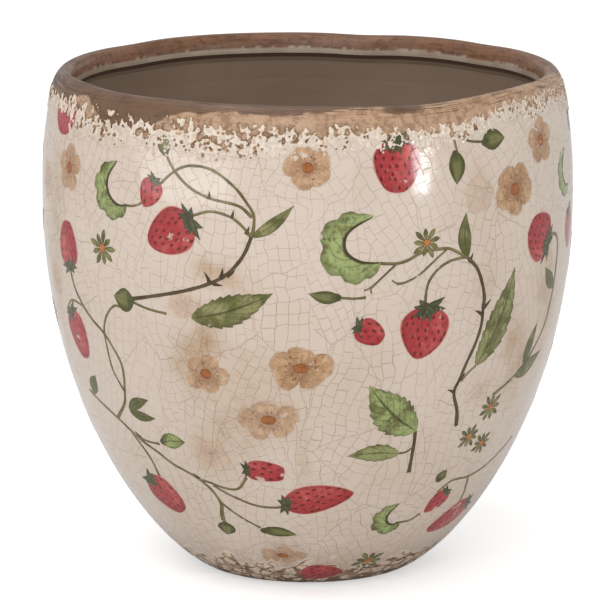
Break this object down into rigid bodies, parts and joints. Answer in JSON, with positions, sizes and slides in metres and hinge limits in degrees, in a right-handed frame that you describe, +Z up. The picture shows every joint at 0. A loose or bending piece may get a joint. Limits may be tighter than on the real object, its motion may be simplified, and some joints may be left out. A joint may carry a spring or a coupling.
{
  "type": "flower pot",
  "caption": "Round-bellied ceramic flower pot with a heavy rolled lip, a closed floor and a bare foot ring, glazed outside and inside.",
  "frame": {"origin": "centre of the foot ring, on the plane that the pot stands on", "axes": "+Z up along the pot's axis; -Y towards the side shown in the picture"},
  "size_m": [0.21, 0.21, 0.2005],
  "materials": {
    "fired_clay": "bare fired clay, matte",
    "foot_glaze": "brown glaze, satin",
    "cream_glaze": "cream crackle glaze, glossy",
    "rim_glaze": "brushed brown glaze, satin",
    "liner_glaze": "taupe glaze, matte"
  },
  "bodies": {
    "root": {"clay_body": "fired_clay", "foot_glaze_band": "foot_glaze", "cream_glaze_coat": "cream_glaze", "rim_glaze_band": "rim_glaze", "inner_glaze_liner": "liner_glaze"}
  },
  "joints": []
}
